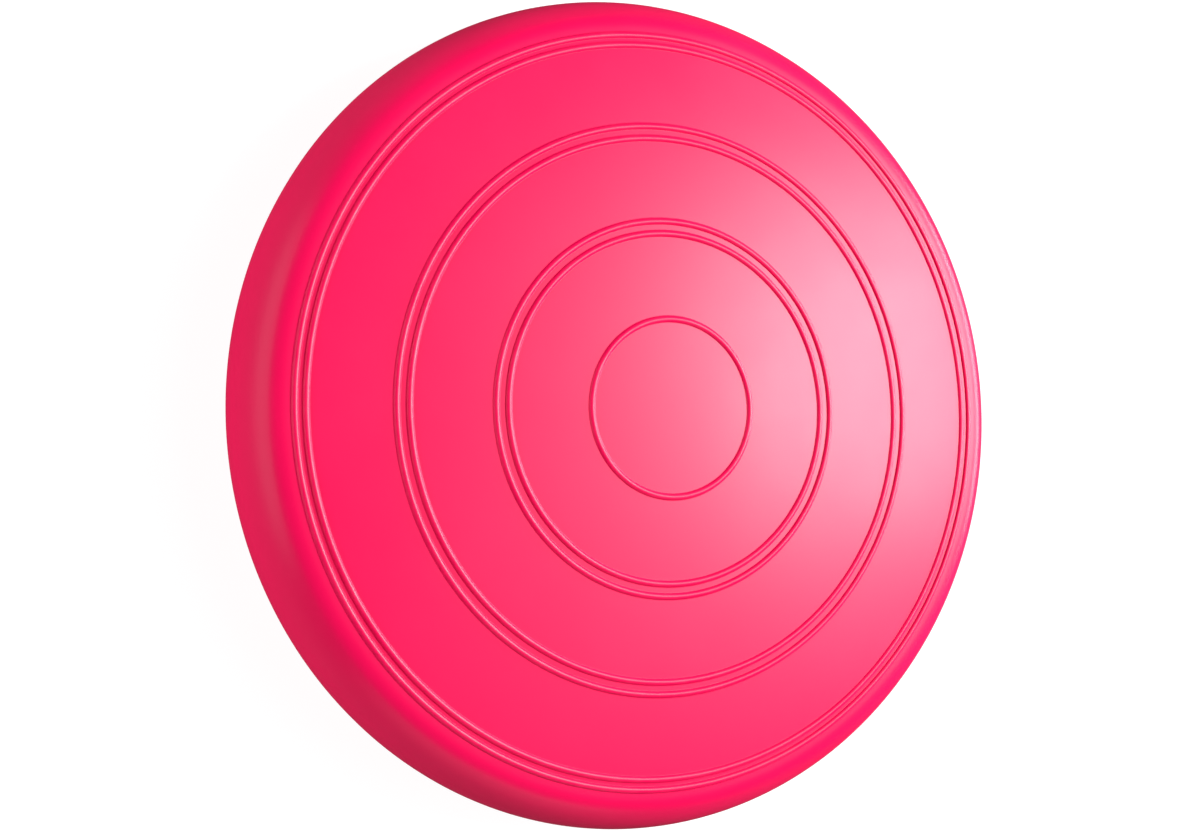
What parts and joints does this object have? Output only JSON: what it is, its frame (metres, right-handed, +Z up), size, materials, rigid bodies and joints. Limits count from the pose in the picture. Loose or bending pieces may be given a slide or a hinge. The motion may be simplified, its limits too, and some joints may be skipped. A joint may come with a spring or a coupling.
{
  "type": "air-filled balance disc",
  "caption": "Air-filled balance disc with raised rings on one face and massage nubs on the other, and a push-in valve stopper that pulls out of the side wall",
  "frame": {"origin": "on the floor, under the centre of the disc as it lies with its ring face up", "axes": "+Z up through the ring face, +X out through the inflation valve, +Y completes the right-handed frame"},
  "size_m": [0.3297, 0.33, 0.061],
  "materials": {
    "skin_pvc": "satin soft PVC, hot pink",
    "valve_pvc": "satin PVC, a shade deeper than the skin",
    "valve_rubber": "black self-sealing rubber",
    "plug_plastic": "moulded plastic in the skin's colour"
  },
  "bodies": {
    "disc": {"ring_face_skin": "skin_pvc", "nub_face_skin": "skin_pvc", "valve_housing": "valve_pvc", "valve_core": "valve_rubber"},
    "plug": {"valve_plug": "plug_plastic"}
  },
  "joints": [
    {"name": "plug_pull", "type": "slide", "parent": "disc", "child": "plug", "axis": [1, 0, 0], "range_m": [0, 0.02]}
  ]
}
